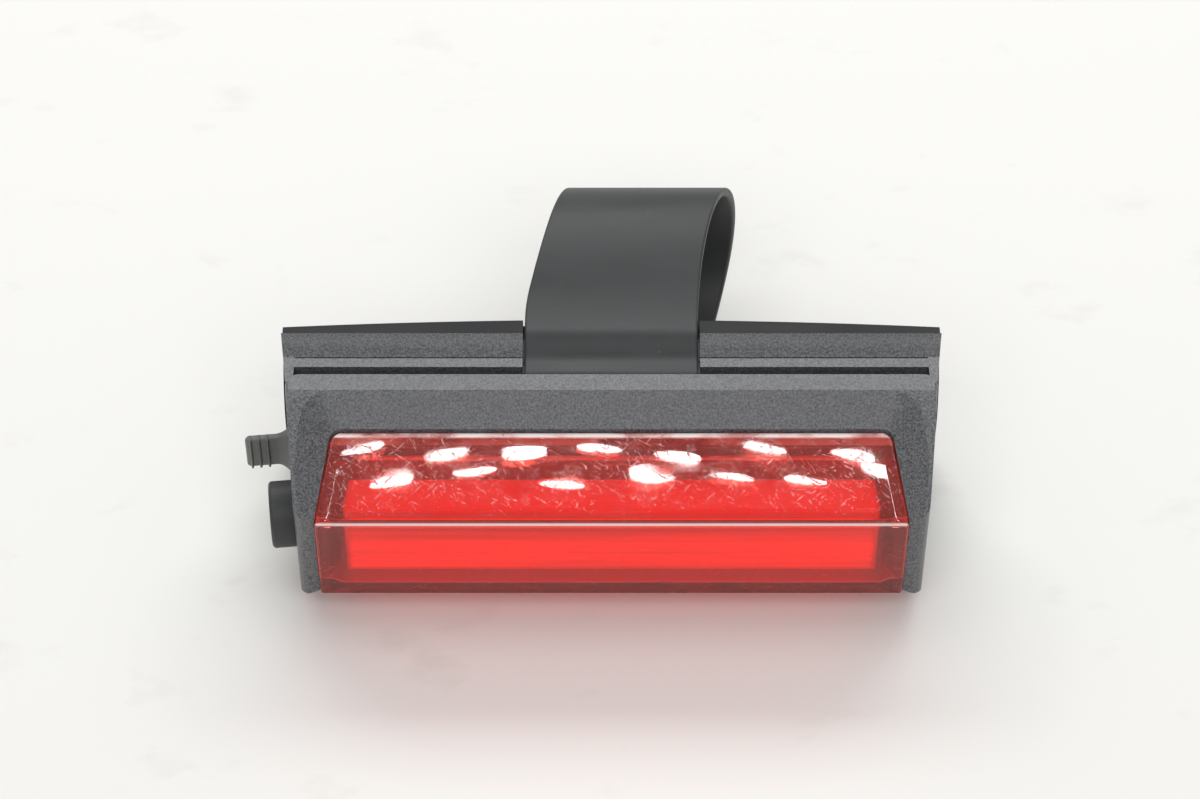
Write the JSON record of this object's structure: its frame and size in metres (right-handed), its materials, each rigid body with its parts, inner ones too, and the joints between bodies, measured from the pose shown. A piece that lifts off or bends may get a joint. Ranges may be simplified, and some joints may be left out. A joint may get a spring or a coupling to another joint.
{
  "type": "bike rear light",
  "caption": "Long bar-shaped bicycle rear light with a folded red lens, a side button, a rubber port cover and a rubber strap loop that holds it to a round seatpost.",
  "frame": {"origin": "on the axis of the seatpost saddle, at the middle of the light's length", "axes": "+X along the light and the seatpost's axis, +Y from the red lens back to the strap's loop, +Z across the light, away from the long side that it lies on"},
  "size_m": [0.1095, 0.0731, 0.0338],
  "materials": {
    "textured_black_polycarbonate": "fine spark texture",
    "clear_red_polycarbonate": "polished, tinted right through",
    "fluorescent_red_acrylic": "polished",
    "red_reflector_plastic": "polished",
    "light_board_laminate": "solder mask",
    "light_emitter_ceramic": "semi gloss",
    "bare_aluminium_sheet": "rolled",
    "moulded_black_nylon": "moulded",
    "pouch_cell_foil": "laminated foil",
    "closed_cell_foam": "matt",
    "lead_insulation": "satin",
    "main_board_laminate": "solder mask",
    "component_epoxy": "matt",
    "zinc_plated_screw_steel": "zinc plated",
    "socket_shell_steel": "nickel plated",
    "socket_tongue_plastic": "matt",
    "switch_body_plastic": "matt",
    "switch_plunger_plastic": "satin",
    "button_silicone": "matt",
    "cover_silicone": "matt",
    "seal_silicone": "satin",
    "pad_silicone": "matt",
    "strap_silicone": "satin with a fine drag grain",
    "stainless_pin_steel": "drawn"
  },
  "bodies": {
    "light_body": {"front_bezel": "textured_black_polycarbonate", "lens": "clear_red_polycarbonate", "light_guide": "fluorescent_red_acrylic", "reflector_tray": "red_reflector_plastic", "led_board": "light_board_laminate", "led_packages": "light_emitter_ceramic", "heat_spreader": "bare_aluminium_sheet", "inner_chassis": "moulded_black_nylon", "battery_cell": "pouch_cell_foil", "battery_foam": "closed_cell_foam", "battery_leads": "lead_insulation", "main_board": "main_board_laminate", "board_components": "component_epoxy", "board_screws": "zinc_plated_screw_steel", "usb_socket_shell": "socket_shell_steel", "usb_socket_tongue": "socket_tongue_plastic", "switch_body": "switch_body_plastic", "rear_seal": "seal_silicone", "rear_housing": "textured_black_polycarbonate", "housing_screws": "zinc_plated_screw_steel", "mount_pad": "pad_silicone", "strap": "strap_silicone", "strap_anchor_pin": "stainless_pin_steel"},
    "power_button": {"power_button": "button_silicone", "switch_plunger": "switch_plunger_plastic"},
    "usb_cover": {"usb_cover": "cover_silicone"},
    "strap_free_end": {"strap_free_end": "strap_silicone"}
  },
  "joints": [
    {"name": "button_press", "type": "slide", "parent": "light_body", "child": "power_button", "axis": [0.9943, 0.1067, 0], "range_m": [0, 0.0005], "stiffness_N_per_m": 1500, "springref_m": -0.0003},
    {"name": "usb_cover_hinge", "type": "hinge", "parent": "light_body", "child": "usb_cover", "pos_m": [-0.0498, -0.02658, 0], "axis": [0, 0, 1], "range_deg": [0, 95], "stiffness_Nm_per_rad": 0.002},
    {"name": "strap_release", "type": "hinge", "parent": "light_body", "child": "strap_free_end", "pos_m": [0, 0.0141, 0.0186], "axis": [-1, 0, 0], "range_deg": [0, 75], "stiffness_Nm_per_rad": 0.03}
  ]
}
